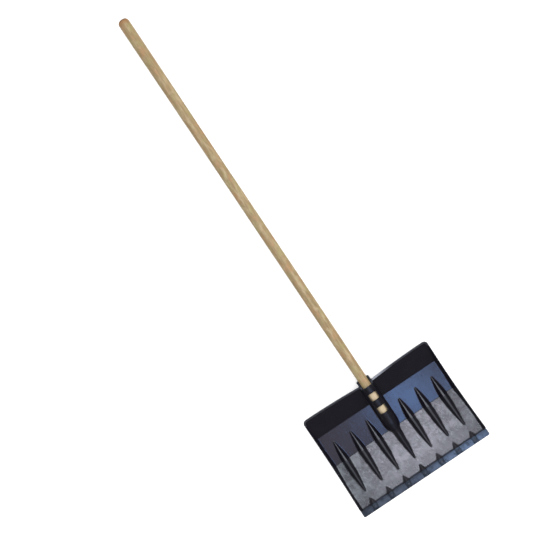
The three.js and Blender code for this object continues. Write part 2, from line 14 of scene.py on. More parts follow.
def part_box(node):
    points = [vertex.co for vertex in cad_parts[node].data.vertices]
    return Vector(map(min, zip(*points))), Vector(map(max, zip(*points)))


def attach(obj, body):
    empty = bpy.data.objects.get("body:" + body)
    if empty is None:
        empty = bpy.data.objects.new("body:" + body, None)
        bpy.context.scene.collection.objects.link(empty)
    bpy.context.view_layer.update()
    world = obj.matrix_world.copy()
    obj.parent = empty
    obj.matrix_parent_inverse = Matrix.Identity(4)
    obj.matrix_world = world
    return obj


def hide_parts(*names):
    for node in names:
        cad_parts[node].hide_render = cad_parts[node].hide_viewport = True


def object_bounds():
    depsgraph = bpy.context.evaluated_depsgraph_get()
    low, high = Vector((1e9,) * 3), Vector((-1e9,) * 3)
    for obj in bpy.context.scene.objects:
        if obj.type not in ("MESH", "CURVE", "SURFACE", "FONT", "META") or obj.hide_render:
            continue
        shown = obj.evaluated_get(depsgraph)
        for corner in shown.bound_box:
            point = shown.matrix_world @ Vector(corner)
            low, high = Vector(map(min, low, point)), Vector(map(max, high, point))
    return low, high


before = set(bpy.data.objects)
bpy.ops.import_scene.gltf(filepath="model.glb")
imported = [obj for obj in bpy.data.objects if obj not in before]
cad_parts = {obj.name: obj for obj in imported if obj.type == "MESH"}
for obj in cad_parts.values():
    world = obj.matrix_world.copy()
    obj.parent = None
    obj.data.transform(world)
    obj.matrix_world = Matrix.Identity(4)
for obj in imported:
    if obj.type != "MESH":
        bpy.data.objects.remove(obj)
cad_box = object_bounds()

MM = 0.001
WELD = 0.002 * MM  # vertices closer than this are one

# ---- Places worked out from the CAD boxes -------------------------------------------------------

SHEET = 3 * MM
FRONT_ANGLE = math.radians(23)  # rise of the scoop's front facet
REAR_ANGLE = math.radians(21)  # rise of the rear facet
FRONT_REACH = 143.85 * MM  # over the ground, from the scoop's front end to the front crease
REBATE_REACH = 123.5 * MM  # from the front crease to where the facet falls away to the strip
MIDDLE_LENGTH = 90 * MM
LIP_REACH = 47 * MM  # from the rear crease to the top lip
MOUTH_REACH = 139 * MM  # from the front crease to the upper end of the socket's upper band
RIB_PITCH = 53.5 * MM  # ribs, wedges and rivets stand this far apart

FRONT_CREASE_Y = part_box("blade")[0].y + FRONT_REACH
REBATE_Y = FRONT_CREASE_Y - REBATE_REACH
REAR_CREASE_Y = FRONT_CREASE_Y + MIDDLE_LENGTH
LIP_START_Y = REAR_CREASE_Y + LIP_REACH
MOUTH_Y = FRONT_CREASE_Y + MOUTH_REACH

# ---- Scoop mesh ---------------------------------------------------------------------------------

SKIN_VOXEL = 0.9 * MM
FILLET_FACTOR = 0.5
FILLET_PASSES = 7
SCOOP_FACES_KEPT = 0.19

# ---- Handle -------------------------------------------------------------------------------------

HANDLE_LENGTH = 1295 * MM
GRIP_RADIUS = 16 * MM
SHAFT_RADIUS = 14.6 * MM
FOOT_RADIUS = 13.1 * MM
FOOT_HEIGHT = 20.18 * MM  # of the middle of the handle's lower end, above the ground
TAPER_END = 285 * MM  # from the foot
SWELL_START = 780 * MM
DOME_LENGTH = 12 * MM
DOME_FLAT_RADIUS = 7 * MM
DOME_STEPS = 10
HANDLE_TILT = 4 / 1228  # radians, down towards the grip end
HANDLE_SIDES = 96
RING_SPACING = 8 * MM
FOOT_EDGE = 1.2 * MM  # how far its broken edge reaches
TURNING_DEPTH = 0.12 * MM  # how deep the turning leaves hollows in the surface
HOLLOWS_AROUND = 1.3  # how fast the hollows change round the handle
HOLLOWS_ALONG = 14  # and along it, to a metre

# ---- Strip and fasteners ------------------------------------------------------------------------

STRIP_REACH = 202 * MM  # to either side
STRIP_ROUNDING = 0.22 * MM
RIVET_REACH = 147.3 * MM  # along the front facet, from the front crease
RIVET_SEAT = 1.9 * MM  # underside of the head, above the facet
RIVET_BACK = -4.5 * MM  # where the tail starts
RIVET_SHANK_RADIUS = 2 * MM
RIVET_SIDES = 40

SCREW_HEAD = 0.3 * MM  # height of the head's face
SCREW_HEAD_RADIUS = 4.2 * MM
SCREW_HEAD_DEPTH = 1 * MM
SCREW_HEAD_EDGE = 0.3 * MM
SCREW_RADIUS = 2 * MM
SCREW_SHANK_START = 2.3 * MM
SCREW_SHANK_LENGTH = 12 * MM
SCREW_CONE_LENGTH = 2 * MM
SCREW_TIP = 18.3 * MM
SCREW_SIDES = 32
THREAD_PITCH = 1.6 * MM
THREAD_START = 4 * MM
THREAD_END = 15.5 * MM
THREAD_DEPTH = 0.55 * MM
THREAD_STEEPNESS = 3
THREAD_STEPS = 96
SLOT_DEPTH = 1.5 * MM
SLOT_MOUTH_RADIUS = 0.75 * MM  # before the stretch, as is the next
SLOT_FLOOR_RADIUS = 0.45 * MM
SLOT_STRETCH = (3.2, 0.75, 1)


def on_front(x, reach, height):
    """The point at a reach down the front facet and a height square to its upper surface."""
    sin, cos = math.sin(FRONT_ANGLE), math.cos(FRONT_ANGLE)
    y = FRONT_CREASE_Y - reach * cos + height * sin
    return Vector((x, y, SHEET + reach * sin + height * cos))


# ---- Mesh helpers -------------------------------------------------------------------------------


def add_piece(name, mesh):
    """A new object in the scene that shows a mesh."""
    piece = bpy.data.objects.new(name, mesh)
    bpy.context.scene.collection.objects.link(piece)
    return piece


def finish_piece(piece, material, slot, *nodes):
    """Dresses a piece, hangs it under the root body and hides the CAD nodes that it stands for."""
    piece.data.materials.clear()
    piece.data.materials.append(material)
    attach(piece, "root")
    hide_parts(*nodes)


def welded_copy(node, name):
    """A new piece with a CAD node's mesh, its coincident vertices joined."""
    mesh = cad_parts[node].data.copy()
    mesh.materials.clear()
    work = bmesh.new()
    work.from_mesh(mesh)
    bmesh.ops.remove_doubles(work, verts=work.verts, dist=WELD)
    work.to_mesh(mesh)
    work.free()
    return add_piece(name, mesh)


def apply_modifiers(piece):
    """Makes what a piece's modifiers show its own mesh."""
    graph = bpy.context.evaluated_depsgraph_get()
    mesh = bpy.data.meshes.new_from_object(piece.evaluated_get(graph))
    piece.modifiers.clear()
    piece.data = mesh


def shade(piece, sharp_degrees):
    """Smooth shading, with edges sharper than an angle left hard."""
    mesh = piece.data
    mesh.polygons.foreach_set("use_smooth", [True] * len(mesh.polygons))
    mesh.set_sharp_from_angle(angle=math.radians(sharp_degrees))


def cut(piece, cutter):
    """Takes a closed cutter out of a piece and removes the cutter."""
    knife = piece.modifiers.new("cut", "BOOLEAN")
    knife.operation, knife.solver, knife.object = "DIFFERENCE", "EXACT", cutter
    apply_modifiers(piece)
    bpy.data.objects.remove(cutter)


def turned(name, profile, sides, place, radius_at=None):
    """A closed piece turned about +Z from (radius, height) pairs, then placed by a matrix.

    The profile starts and ends on the axis. radius_at(radius, height, angle) may vary the radius.
    """
    work = bmesh.new()
    rings = []
    for radius, height in profile:
        if radius == 0:
            rings.append([work.verts.new((0, 0, height))])
            continue
        ring = []
        for side in range(sides):
            angle = math.tau * side / sides
            r = radius_at(radius, height, angle) if radius_at else radius
            ring.append(work.verts.new((r * math.cos(angle), r * math.sin(angle), height)))
        rings.append(ring)
    for lower, upper in zip(rings, rings[1:]):
        for side in range(sides):
            after = (side + 1) % sides
            corners = [lower[side % len(lower)], lower[after % len(lower)]]
            corners += [upper[after % len(upper)], upper[side % len(upper)]]
            work.faces.new(list(dict.fromkeys(corners)))
    bmesh.ops.recalc_face_normals(work, faces=work.faces)
    work.transform(place)
    mesh = bpy.data.meshes.new(name)
    work.to_mesh(mesh)
    work.free()
    return add_piece(name, mesh)


# ---- Node helper --------------------------------------------------------------------------------


class Looks:
    """A material's nodes, with one short call for each kind that the looks use."""

    def __init__(self, name):
        self.material = bpy.data.materials.new(name)
        self.material.use_nodes = True
        self.tree = self.material.node_tree
        self.shader = self.tree.nodes["Principled BSDF"]
        self.point = self.add("ShaderNodeTexCoord").outputs["Object"]

    def add(self, kind, **settings):
        """A new node with some of its settings changed."""
        node = self.tree.nodes.new(kind)
        for key, value in settings.items():
            setattr(node, key, value)
        return node

    def feed(self, socket, value):
        """Links another socket to this one, or writes a plain value on it."""
        if isinstance(value, bpy.types.NodeSocket):
            self.tree.links.new(value, socket)
        else:
            socket.default_value = value

    def math(self, operation, a, b=0.0, clamp=False):
        node = self.add("ShaderNodeMath", operation=operation, use_clamp=clamp)
        self.feed(node.inputs[0], a)
        self.feed(node.inputs[1], b)
        return node.outputs[0]

    def times(self, first, *others):
        for other in others:
            first = self.math("MULTIPLY", first, other)
        return first

    def plus(self, first, *others):
        for other in others:
            first = self.math("ADD", first, other)
        return first

    def rest_of(self, share):
        """What a share leaves of one."""
        return self.math("SUBTRACT", 1.0, share)

    def stretched(self, scale, rotation=(0, 0, 0), offset=(0, 0, 0)):
        """The point, scaled along each axis after a turn, so that patterns can follow a direction."""
        node = self.add("ShaderNodeMapping", vector_type="TEXTURE")
        self.feed(node.inputs["Vector"], self.point)
        node.inputs["Location"].default_value = offset
        node.inputs["Rotation"].default_value = rotation
        node.inputs["Scale"].default_value = [1 / s for s in scale]
        return node.outputs[0]

    def noise(self, vector, scale, detail=2.0, roughness=0.5, distortion=0.0):
        node = self.add("ShaderNodeTexNoise")
        self.feed(node.inputs["Vector"], vector)
        node.inputs["Scale"].default_value = scale
        node.inputs["Detail"].default_value = detail
        node.inputs["Roughness"].default_value = roughness
        node.inputs["Distortion"].default_value = distortion
        return node.outputs[0]

    def axis(self, name):
        """The point's X, Y or Z."""
        node = self.add("ShaderNodeSeparateXYZ")
        self.feed(node.inputs[0], self.point)
        return node.outputs[name]

    def step(self, value, low, high, at_low=0.0, at_high=1.0):
        """A smooth rise from one value to another between two inputs."""
        node = self.add("ShaderNodeMapRange", interpolation_type="SMOOTHSTEP")
        self.feed(node.inputs["Value"], value)
        for key, number in zip(("From Min", "From Max", "To Min", "To Max"), (low, high, at_low, at_high)):
            node.inputs[key].default_value = number
        return node.outputs[0]

    def band(self, value, start, full, fading, gone):
        """1 where a value is between full and fading, with soft ends that reach to start and gone."""
        return self.times(self.step(value, start, full), self.step(value, fading, gone, 1, 0))

    def pointed(self, low, high):
        """A rise along edges that jut out, or along hollows where low is above high."""
        return self.step(self.add("ShaderNodeNewGeometry").outputs["Pointiness"], low, high)

    def colours(self, share, stops):
        """A colour ramp through (place, (r, g, b)) stops."""
        node = self.add("ShaderNodeValToRGB")
        self.feed(node.inputs[0], share)
        elements = node.color_ramp.elements
        while len(elements) < len(stops):
            elements.new(0.5)
        for element, (place, colour) in zip(elements, stops):
            element.position = place
            element.color = (*colour, 1)
        return node.outputs[0]

    def mix(self, share, a, b):
        """The colour that goes from a to b as a share goes from nothing to one."""
        node = self.add("ShaderNodeMix", data_type="RGBA")
        self.feed(node.inputs[0], share)
        for socket, value in zip((node.inputs[6], node.inputs[7]), (a, b)):
            self.feed(socket, (*value, 1) if isinstance(value, tuple) else value)
        return node.outputs[2]

    def bump(self, height, depth, under=None):
        """Relief of a depth in metres, on top of another relief if there is one."""
        node = self.add("ShaderNodeBump")
        self.feed(node.inputs["Height"], height)
        node.inputs["Strength"].default_value = 1
        node.inputs["Distance"].default_value = depth
        if under is not None:
            self.feed(node.inputs["Normal"], under)
        return node.outputs[0]

    def set(self, **inputs):
        """Feeds the shader's inputs, named with underscores, and returns the material."""
        for key, value in inputs.items():
            socket = self.shader.inputs[key.replace("_", " ")]
            self.feed(socket, (*value, 1) if isinstance(value, tuple) else value)
        return self.material


# ---- Materials ----------------------------------------------------------------------------------

PLANE_BAND = (-1.2 * MM, -0.6 * MM, 0.3 * MM, 0.9 * MM)  # about the front facet's surface, where it is bare
CREASE_FADE = 3 * MM
REBATE_FADE = 0.5 * MM
LEFT_TINT = (-190 * MM, -70 * MM)  # the front facet's grey changes between these places across it
RIGHT_TINT = (120 * MM, 195 * MM)
FULL_WEAR_REACH = 70 * MM  # from the front crease to where the wear starts to fade towards the strip
LIP_HEIGHTS = (2.2 * MM, 3.2 * MM)  # above the rear facet, where the lip starts to count and does in full
LIP_FADE = 3 * MM
SOCKET_SIDE = (22 * MM, 24 * MM)  # the socket's looks fade out between these distances to its sides
SOCKET_RISE = (8 * MM, 16 * MM)  # and fade in between these heights
LIP_HIGHLIGHT_SPAN = (18 * MM, 24 * MM, 30 * MM, 95 * MM)  # start, full, fading and end of the painted highlight beside the socket
GRIP_STAIN = (22 * MM, 8 * MM)  # before the handle's end, where the stain starts and where it is full
TIP_STAIN = (9 * MM, 1 * MM)


def scratches(looks, direction, fineness, length, low, high):
    """Thin broken lines in one direction across the facets: 1 on a scratch."""
    along = looks.stretched((fineness, length, fineness), rotation=(0, 0, direction))
    return looks.step(looks.noise(along, 1, detail=3, roughness=0.6), low, high)


def scoop_scratches(looks):
    """Scratches along the scoop, and fainter ones that cross them."""
    main = scratches(looks, 0.06, 1300, 22, 0.6, 0.68)
    crossing = scratches(looks, 0.75, 1500, 40, 0.64, 0.7)
    return looks.math("MAXIMUM", main, looks.times(crossing, 0.7))


def facet_plane(looks, on_front):
    """1 on the bare plane of the front facet, 0 on what stands above it and on the way down to the strip."""
    sin, cos = math.sin(FRONT_ANGLE), math.cos(FRONT_ANGLE)
    lift = looks.plus(looks.times(looks.axis("Y"), sin), looks.times(looks.axis("Z"), cos))
    plane = FRONT_CREASE_Y * sin + SHEET * cos
    on_plane = looks.band(lift, *(plane + edge for edge in PLANE_BAND))
    behind_strip = looks.step(looks.axis("Y"), REBATE_Y - REBATE_FADE, REBATE_Y + REBATE_FADE)
    return looks.times(on_plane, behind_strip, on_front)


def socket_share(looks, on_front):
    """1 on the socket, 0 on the facets and on the middle rib where it crosses the front facet."""
    aside = looks.math("ABSOLUTE", looks.axis("X"))
    return looks.times(
        looks.step(aside, *SOCKET_SIDE, 1, 0),
        looks.step(looks.axis("Z"), *SOCKET_RISE),
        looks.rest_of(on_front),
    )


def lip_painted_highlight(looks):
    """A painted highlight on the top lip: faint all along and strongest to the right of the socket."""
    along = looks.axis("Y")
    rise = math.tan(REAR_ANGLE)
    above = looks.math("SUBTRACT", looks.axis("Z"), looks.times(along, rise))
    facet = SHEET - REAR_CREASE_Y * rise
    raised = looks.step(above, *(facet + edge for edge in LIP_HEIGHTS))
    at_edge = looks.step(along, LIP_START_Y, LIP_START_Y + LIP_FADE)
    highlight_streak = looks.band(looks.axis("X"), *LIP_HIGHLIGHT_SPAN)
    return looks.times(raised, at_edge, looks.plus(looks.times(highlight_streak, 0.9), 0.1))


def scoop_wear(looks, clouds, lines, on_plane):
    """How grey the plastic is rubbed: mottled on the front facet, faint on scratches and edges elsewhere."""
    swirls = looks.noise(looks.point, 42, detail=5, roughness=0.62, distortion=0.7)
    specks = looks.noise(looks.point, 240, detail=3, roughness=0.6, distortion=0.6)
    mottle = looks.plus(looks.times(clouds, 0.4), looks.times(swirls, 0.45), looks.times(specks, 0.15))
    streaked = looks.stretched((150, 38, 150), rotation=(0, 0, 0.3))
    rubs = looks.step(looks.noise(streaked, 1, detail=3, roughness=0.6, distortion=1.2), 0.54, 0.7)
    mottle = looks.step(mottle, 0.43, 0.59, 0.05, 0.8)
    scuff = looks.plus(mottle, looks.times(rubs, 0.9), looks.times(lines, 0.25))
    towards_strip = looks.step(looks.axis("Y"), REBATE_Y, FRONT_CREASE_Y - FULL_WEAR_REACH, 0.25, 1)
    wear = looks.plus(looks.times(scuff, towards_strip, on_plane), looks.times(lines, 0.04))
    return looks.math("ADD", wear, looks.times(looks.pointed(0.53, 0.6), 0.1), clamp=True)


def scoop_colour(looks, clouds, wear, socket):
    """Near black, with painted shade that makes the socket darker and bluer, greyer with wear, and a painted
    highlight along the lip.
    """
    across = looks.axis("X")
    tints = looks.noise(looks.stretched((1, 1, 1), offset=(0.2, 0.4, 0.1)), 45, detail=3, distortion=1)
    bare = looks.mix(clouds, (0.0075, 0.0065, 0.0115), (0.0115, 0.0105, 0.0165))
    # painted shade: the socket is made darker and bluer than the rest of the moulding
    bare = looks.mix(socket, bare, (0.003, 0.002, 0.007))
    grey = looks.mix(looks.step(tints, 0.4, 0.6), (0.15, 0.165, 0.185), (0.185, 0.175, 0.215))
    grey = looks.mix(looks.step(across, *LEFT_TINT), (0.11, 0.135, 0.15), grey)
    grey = looks.mix(looks.step(across, *RIGHT_TINT), grey, (0.13, 0.145, 0.16))
    # painted highlight along the top lip
    return looks.mix(lip_painted_highlight(looks), looks.mix(wear, bare, grey), (0.34, 0.36, 0.43))


def scoop_plastic():
    """Near-black plastic: smooth on the facets, satin on ribs and socket, scuffed grey on the front facet."""
    looks = Looks("scoop_plastic")
    grain = looks.noise(looks.point, 1100, detail=3)
    clouds = looks.noise(looks.point, 26, detail=3, roughness=0.55, distortion=0.8)
    lines = scoop_scratches(looks)
    on_front = looks.step(looks.axis("Y"), FRONT_CREASE_Y - CREASE_FADE, FRONT_CREASE_Y, 1, 0)
    on_plane = facet_plane(looks, on_front)
    socket = socket_share(looks, on_front)
    wear = scoop_wear(looks, clouds, lines, on_plane)
    satin = looks.times(looks.math("MAXIMUM", on_front, socket), looks.rest_of(on_plane))
    rough = looks.plus(looks.times(clouds, 0.1), 0.13, looks.times(on_plane, 0.1))
    rough = looks.math("ADD", rough, looks.times(satin, 0.27), clamp=True)
    relief = looks.bump(grain, 0.02 * MM)
    relief = looks.bump(looks.rest_of(lines), 0.015 * MM, relief)
    colour = scoop_colour(looks, clouds, wear, socket)
    return looks.set(Base_Color=colour, Roughness=rough, Normal=relief, IOR=1.5)


def growth_rings(looks):
    """Growth rings about a pith that runs beside the handle, so that they are cut lengthwise."""
    rings = looks.add("ShaderNodeTexWave", wave_type="RINGS", rings_direction="Y", wave_profile="SAW")
    pith = looks.stretched((1, 0.055, 1), rotation=(0.012, 0, 0.02), offset=(-0.031, 0, -0.045))
    looks.feed(rings.inputs["Vector"], pith)
    for name, value in (("Scale", 105), ("Distortion", 2.2), ("Detail", 2), ("Detail Scale", 0.35)):
        rings.inputs[name].default_value = value
    return looks.colours(rings.outputs["Fac"], [
        (0.0, (0.475, 0.355, 0.19)),
        (0.55, (0.43, 0.315, 0.162)),
        (0.85, (0.315, 0.215, 0.10)),
        (1.0, (0.435, 0.32, 0.165)),
    ])


def wood_colour(looks, fibres, pores):
    """Ringed wood with brown and greenish tints, pale blotches, painted light inside the socket, brown at the
    end.
    """
    along = looks.axis("Y")
    blotches = looks.noise(looks.stretched((1, 0.3, 1)), 90, detail=4, roughness=0.6, distortion=0.6)
    tint = looks.noise(looks.stretched((1, 0.45, 1), offset=(0.3, 0.1, 0.2)), 60, detail=3, roughness=0.6)
    wood = looks.mix(looks.step(fibres, 0.38, 0.68), growth_rings(looks), (0.31, 0.21, 0.1))
    wood = looks.mix(looks.step(tint, 0.5, 0.66, 0, 0.7), wood, (0.49, 0.28, 0.135))
    wood = looks.mix(looks.step(tint, 0.48, 0.36, 0, 0.6), wood, (0.41, 0.35, 0.15))
    wood = looks.mix(looks.step(blotches, 0.45, 0.68, 0, 0.7), wood, (0.56, 0.45, 0.27))
    wood = looks.mix(looks.times(pores, 0.6), wood, (0.12, 0.07, 0.035))
    # painted light: paler wood inside the socket's windows, lifting the shade of the socket's walls
    socket_painted_light = looks.mix(looks.step(fibres, 0.35, 0.75), (0.69, 0.56, 0.37), (0.57, 0.45, 0.285))
    wood = looks.mix(looks.step(along, MOUTH_Y - 1 * MM, MOUTH_Y + 2 * MM, 1, 0), wood, socket_painted_light)
    end = cad_box[1].y
    for (start, full), stain in ((GRIP_STAIN, (0.40, 0.195, 0.075)), (TIP_STAIN, (0.15, 0.085, 0.04))):
        wood = looks.mix(looks.step(along, end - start, end - full, 0, 0.8), wood, stain)
    return wood


def handle_wood():
    """Pale turned wood, unvarnished, with fibres and pores along its length."""
    looks = Looks("handle_wood")
    fibres = looks.noise(looks.stretched((1, 0.02, 1)), 700, detail=4, roughness=0.7)
    pores = looks.step(looks.noise(looks.stretched((1, 0.09, 1)), 1500, detail=1), 0.66, 0.74)
    rough = looks.plus(looks.times(fibres, 0.3), 0.42)
    relief = looks.bump(fibres, 0.08 * MM)
    relief = looks.bump(looks.rest_of(pores), 0.04 * MM, relief)
    colour = wood_colour(looks, fibres, pores)
    return looks.set(Base_Color=colour, Roughness=rough, Normal=relief, IOR=1.45)


def pad_share(looks):
    """Most on the pads round the rivets, which stand a rib pitch apart from the middle outwards."""
    pitches = looks.math("DIVIDE", looks.axis("X"), RIB_PITCH)
    off_rivet = looks.math("ABSOLUTE", looks.math("SUBTRACT", pitches, looks.math("ROUND", pitches)))
    return looks.step(off_rivet, 0.13, 0.17, 0.6, 0)


def strip_steel():
    """Dark blued sheet steel: rolled grain, rubbed marks, stains, darker rivet pads, and a painted reflection
    that makes it brighter and bluer towards the right end.
    """
    looks = Looks("strip_steel")
    rolled = looks.noise(looks.stretched((0.02, 1, 1)), 2200, detail=3)
    stains = looks.noise(looks.point, 70, detail=5, roughness=0.65, distortion=0.8)
    rubs = scratches(looks, 0.15, 1100, 60, 0.6, 0.68)
    # painted reflection: the steel turns brighter and bluer towards the right end
    steel_and_painted_reflection = looks.colours(looks.step(looks.axis("X"), -STRIP_REACH, STRIP_REACH), [
        (0.1, (0.088, 0.104, 0.128)),
        (0.45, (0.08, 0.098, 0.128)),
        (0.9, (0.145, 0.195, 0.275)),
    ])
    colour = looks.mix(looks.step(stains, 0.42, 0.68, 0, 0.7), steel_and_painted_reflection, (0.04, 0.05, 0.066))
    colour = looks.mix(pad_share(looks), colour, (0.036, 0.046, 0.055))
    wear = looks.math("MAXIMUM", looks.times(rubs, 0.35), looks.times(looks.pointed(0.52, 0.58), 0.4))
    colour = looks.mix(wear, colour, (0.13, 0.15, 0.19))
    rough = looks.plus(looks.times(stains, 0.2), 0.45)
    relief = looks.bump(rolled, 0.012 * MM)
    relief = looks.bump(looks.noise(looks.point, 30, detail=1), 0.2 * MM, relief)
    return looks.set(Base_Color=colour, Metallic=1.0, Roughness=rough, Normal=relief)


def fastener_steel():
    """Plain dull plated steel, speckled and grimy, with painted shade in its hollows."""
    looks = Looks("fastener_steel")
    speckle = looks.noise(looks.point, 1800, detail=3)
    grime = looks.noise(looks.point, 420, detail=4, roughness=0.6)
    colour = looks.mix(speckle, (0.06, 0.068, 0.085), (0.1, 0.11, 0.13))
    # painted shade in the hollows
    hollow_painted_shade = looks.times(looks.pointed(0.5, 0.42), 0.8)
    grime_and_painted_shade = looks.math("MAXIMUM", looks.step(grime, 0.5, 0.75, 0, 0.7), hollow_painted_shade)
    colour = looks.mix(grime_and_painted_shade, colour, (0.035, 0.033, 0.034))
    rough = looks.plus(looks.times(grime, 0.35), 0.28)
    return looks.set(Base_Color=colour, Metallic=1.0, Roughness=rough, Normal=looks.bump(speckle, 0.02 * MM))


# ---- Pieces -------------------------------------------------------------------------------------


def make_scoop():
    """The CAD scoop skinned afresh, so that its corners carry a mould's small fillets."""
    scoop = welded_copy("blade", "scoop")
    skin = scoop.modifiers.new("skin", "REMESH")
    skin.mode = "VOXEL"
    skin.voxel_size = SKIN_VOXEL
    fillets = scoop.modifiers.new("fillets", "SMOOTH")
    fillets.factor = FILLET_FACTOR
    fillets.iterations = FILLET_PASSES
    thin = scoop.modifiers.new("thin", "DECIMATE")
    thin.ratio = SCOOP_FACES_KEPT
    apply_modifiers(scoop)
    shade(scoop, sharp_degrees=60)
    finish_piece(scoop, scoop_plastic(), "blade_plastic", "blade")


def handle_radius(distance):
    """Radius at a distance from the foot: a long taper, a straight shaft and a slow swell."""
    if distance < TAPER_END:
        return FOOT_RADIUS + (SHAFT_RADIUS - FOOT_RADIUS) * distance / TAPER_END
    share = (distance - SWELL_START) / (HANDLE_LENGTH - DOME_LENGTH - SWELL_START)
    share = min(max(share, 0), 1)
    return SHAFT_RADIUS + (GRIP_RADIUS - SHAFT_RADIUS) * share * share * (3 - 2 * share)


def turned_surface(radius, height, angle):
    """Takes the soft hollows of hand turning out of the handle's round."""
    around = HOLLOWS_AROUND * Vector((math.cos(angle), math.sin(angle), 0))
    at = around + Vector((0, 0, height * HOLLOWS_ALONG))
    return radius - TURNING_DEPTH * (0.5 + 0.5 * noise.noise(at))


def handle_profile():
    """The handle's (radius, distance) outline: a broken foot edge, the shaft and a flat-topped dome."""
    profile = [
        (0, 0),
        (FOOT_RADIUS - FOOT_EDGE, 0),
        (FOOT_RADIUS - FOOT_EDGE / 4, FOOT_EDGE / 3),
        (FOOT_RADIUS, FOOT_EDGE),
    ]
    dome_start = HANDLE_LENGTH - DOME_LENGTH
    rings = round(dome_start / RING_SPACING)
    for ring in range(1, rings + 1):
        distance = dome_start * ring / rings
        profile.append((handle_radius(distance), distance))
    for step in range(1, DOME_STEPS + 1):
        angle = math.pi / 2 * step / DOME_STEPS
        rim = (GRIP_RADIUS - DOME_FLAT_RADIUS) * math.cos(angle)
        profile.append((DOME_FLAT_RADIUS + rim, dome_start + DOME_LENGTH * math.sin(angle)))
    profile.append((0, HANDLE_LENGTH))
    return profile


def make_handle():
    """The turned handle, laid from the socket down to the ground at its grip end."""
    foot = Vector((0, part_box("handle")[0].y + FOOT_RADIUS * math.sin(HANDLE_TILT), FOOT_HEIGHT))
    place = Matrix.Translation(foot) @ Matrix.Rotation(-math.pi / 2 - HANDLE_TILT, 4, "X")
    handle = turned("handle_shaft", handle_profile(), HANDLE_SIDES, place, turned_surface)
    shade(handle, sharp_degrees=50)
    finish_piece(handle, handle_wood(), "handle_wood", "handle")


def make_strip():
    """The folded strip with its sheet edges slightly rounded."""
    strip = welded_copy("wear_strip", "edge_strip")
    flat = strip.modifiers.new("flat", "DECIMATE")
    flat.decimate_type = "DISSOLVE"
    flat.angle_limit = math.radians(1)
    rounding = strip.modifiers.new("rounding", "BEVEL")
    rounding.width = STRIP_ROUNDING
    rounding.segments = 2
    rounding.limit_method = "ANGLE"
    rounding.angle_limit = math.radians(20)
    apply_modifiers(strip)
    shade(strip, sharp_degrees=35)
    finish_piece(strip, strip_steel(), "strip_metal", "wear_strip")


def rivet_profile():
    """A blind rivet's (radius, height) outline: a rolled tail, and a domed head with its mandrel's hollow."""
    seat, back = RIVET_SEAT, RIVET_BACK
    return [
        (0, back - 0.7 * MM),
        (1.1 * MM, back - 0.8 * MM),
        (1.5 * MM, back - 1.25 * MM),
        (2.6 * MM, back - 1.1 * MM),
        (3.15 * MM, back - 0.55 * MM),
        (3.1 * MM, back - 0.1 * MM),
        (RIVET_SHANK_RADIUS, back),
        (RIVET_SHANK_RADIUS, seat),
        (3.8 * MM, seat),
        (4.0 * MM, seat + 0.12 * MM),
        (3.9 * MM, seat + 0.45 * MM),
        (3.5 * MM, seat + 0.82 * MM),
        (2.7 * MM, seat + 1.12 * MM),
        (1.7 * MM, seat + 1.26 * MM),
        (1.25 * MM, seat + 1.22 * MM),
        (1.05 * MM, seat + 0.7 * MM),
        (0, seat + 0.6 * MM),
    ]


def make_rivets(metal):
    """One rivet for each rivet of the CAD model, square to the front facet."""
    nodes = sorted(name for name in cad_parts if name.startswith("strip_rivet_"))
    for node in nodes:
        low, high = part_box(node)
        base = on_front((low.x + high.x) / 2, RIVET_REACH, 0)
        place = Matrix.Translation(base) @ Matrix.Rotation(-FRONT_ANGLE, 4, "X")
        rivet = turned(f"{node}_shaped", rivet_profile(), RIVET_SIDES, place)
        shade(rivet, sharp_degrees=40)
        finish_piece(rivet, metal, "fastener_metal", node)


def thread_radius(radius, height, angle):
    """Runs a shallow helical thread round the screw's shank."""
    if not THREAD_START < height < THREAD_END:
        return radius
    phase = (height / THREAD_PITCH - angle / math.tau) % 1
    return radius - THREAD_DEPTH * min(1, THREAD_STEEPNESS * min(phase, 1 - phase))


def screw_profile():
    """The screw's (radius, height) outline: a low head, a shank with rings for the thread, and a cone."""
    profile = [
        (0, SCREW_HEAD),
        (SCREW_HEAD_RADIUS - SCREW_HEAD_EDGE, SCREW_HEAD),
        (SCREW_HEAD_RADIUS, SCREW_HEAD + SCREW_HEAD_EDGE),
        (SCREW_HEAD_RADIUS, SCREW_HEAD + SCREW_HEAD_DEPTH),
        (SCREW_RADIUS, SCREW_SHANK_START),
    ]
    for step in range(1, THREAD_STEPS + 1):
        profile.append((SCREW_RADIUS, SCREW_SHANK_START + SCREW_SHANK_LENGTH * step / THREAD_STEPS))
    profile.append((SCREW_RADIUS / 2, SCREW_TIP - SCREW_CONE_LENGTH))
    profile.append((0, SCREW_TIP))
    return profile


def cut_slot(screw, turn):
    """Cuts one arm of the cross slot into the screw's head."""
    profile = [(0, 0), (SLOT_MOUTH_RADIUS, 0), (SLOT_FLOOR_RADIUS, SLOT_DEPTH), (0, SLOT_DEPTH)]
    slot = turned("slot", profile, 4, Matrix())
    slot.data.transform(Matrix.Rotation(math.pi / 4, 4, "Z"))
    slot.data.transform(Matrix.Diagonal((*SLOT_STRETCH, 1)))
    slot.data.transform(turn)
    cut(screw, slot)


def make_screw(metal):
    """The screw in the back of the socket, head down, with a thread and a cross slot."""
    low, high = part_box("handle_screw")
    place = Matrix.Translation(((low.x + high.x) / 2, (low.y + high.y) / 2, 0))
    screw = turned("handle_screw_shaped", screw_profile(), SCREW_SIDES, place, thread_radius)
    for angle in (0, math.pi / 2):
        cut_slot(screw, place @ Matrix.Rotation(angle, 4, "Z"))
    shade(screw, sharp_degrees=35)
    finish_piece(screw, metal, "fastener_metal", "handle_screw")


# ---- Stage --------------------------------------------------------------------------------------

